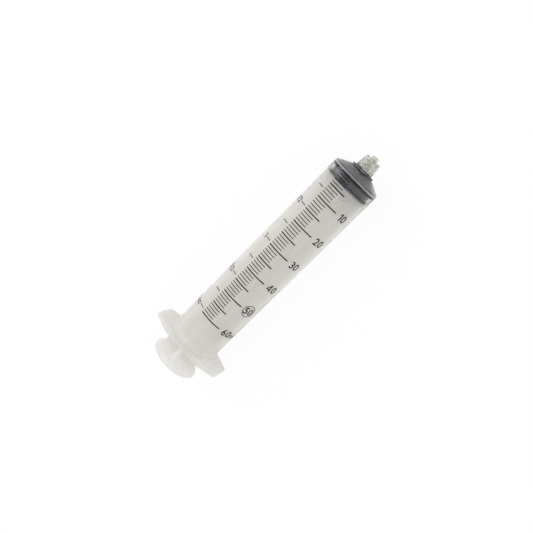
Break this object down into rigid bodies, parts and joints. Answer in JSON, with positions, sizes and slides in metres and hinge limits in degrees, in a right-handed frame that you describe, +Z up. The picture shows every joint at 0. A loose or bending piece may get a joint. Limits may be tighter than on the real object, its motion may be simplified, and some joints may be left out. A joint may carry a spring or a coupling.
{
  "type": "hypodermic syringe",
  "caption": "Large three-piece syringe with finger flange, black rubber stopper, printed volume scales and a lock collar round its male taper.",
  "frame": {"origin": "under the middle of the syringe as it lies on a table, at the level of the finger flange's lower flat", "axes": "+X along the syringe's axis towards its tip, +Z up through the middle of the flange's upper flat, wings along Y"},
  "size_m": [0.1606, 0.048, 0.0306],
  "materials": {
    "clear_polypropylene": "natural moulded polypropylene, milky and see-through",
    "rod_polypropylene": "natural moulded polypropylene, nearly opaque",
    "stopper_rubber": "smooth black elastomer, wet with silicone",
    "printing_ink": "black pad-printed ink"
  },
  "bodies": {
    "barrel": {"barrel": "clear_polypropylene", "lock_collar": "clear_polypropylene", "ml_scale": "printing_ink", "ounce_scale": "printing_ink"},
    "stopper": {"stopper": "stopper_rubber"},
    "plunger": {"plunger_rod": "rod_polypropylene"}
  },
  "joints": [
    {"name": "plunger_slide", "type": "slide", "parent": "barrel", "child": "stopper", "axis": [-1, 0, 0], "range_m": [0, 0.1197]},
    {"name": "rod_turn", "type": "hinge", "parent": "stopper", "child": "plunger", "pos_m": [0.06035, 0, 0.0153], "axis": [1, 0, 0], "continuous": true}
  ]
}
